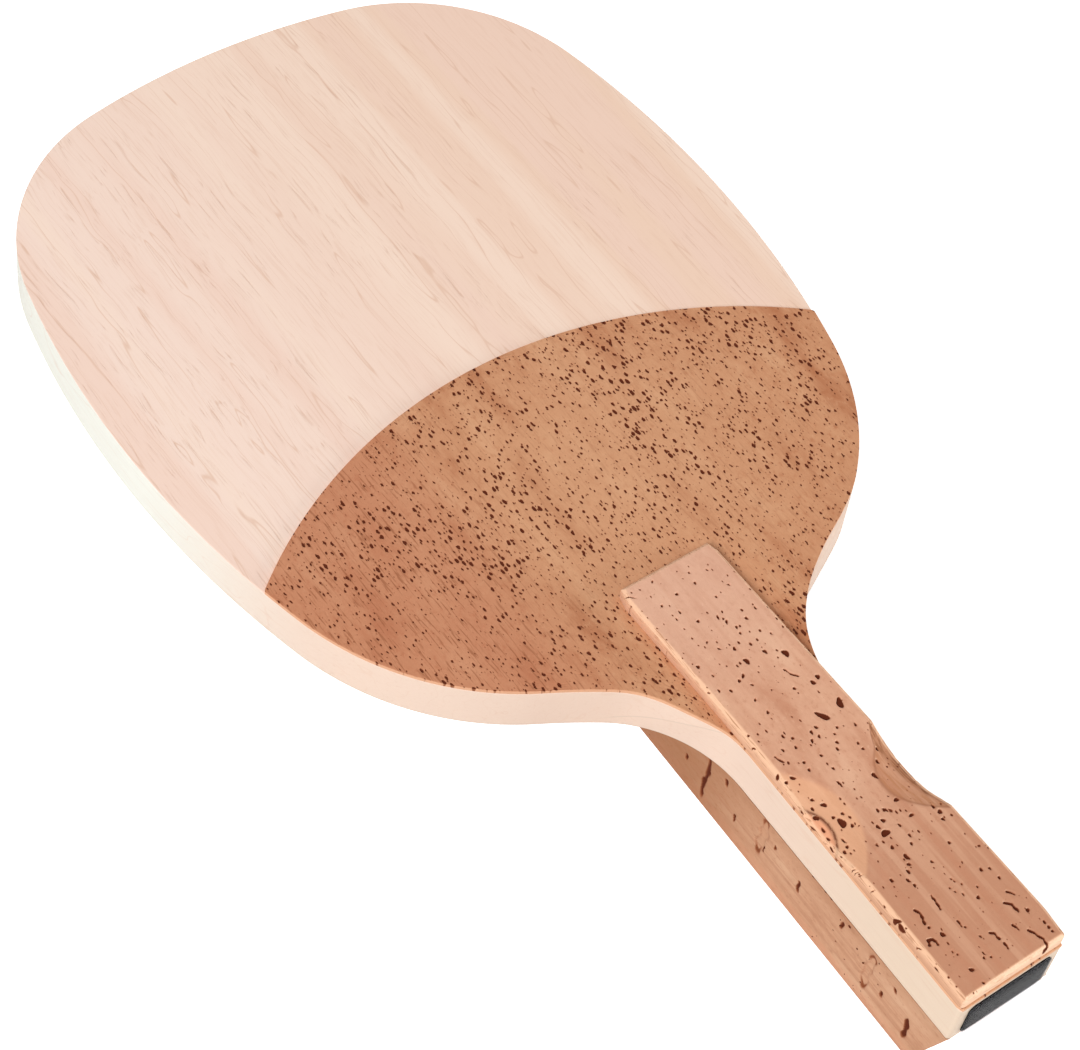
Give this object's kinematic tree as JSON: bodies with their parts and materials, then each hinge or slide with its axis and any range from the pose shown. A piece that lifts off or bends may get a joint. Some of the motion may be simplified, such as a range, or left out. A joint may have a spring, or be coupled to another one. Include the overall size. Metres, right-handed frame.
{
  "type": "table tennis blade",
  "caption": "Penhold table tennis blade: thick solid wood head and handle, a thin cork sheet and scooped cork slab on one face and a tall cork finger block on the other.",
  "frame": {"origin": "under the middle of the blade's length, on the plane of the finger block's outer face", "axes": "+Y along the blade towards the head's tip, +Z out of the face with the cork sheet, +X across"},
  "size_m": [0.133, 0.244, 0.0295],
  "materials": {
    "blade_core": "pale straight-grained softly sanded wood, unvarnished",
    "cork_sheet": "thin natural cork sheet, matte, with dark pores",
    "grip_slab": "natural cork, sanded matte, with dark pores",
    "hook_block": "natural cork, sanded matte, with dark pores and lenticels",
    "badge_plate": "black label film",
    "badge_lens": "clear domed resin"
  },
  "bodies": {
    "root": {"blade_core": "blade_core", "cork_sheet": "cork_sheet", "grip_slab": "grip_slab", "hook_block": "hook_block", "badge_plate": "badge_plate", "badge_lens": "badge_lens"}
  },
  "joints": []
}
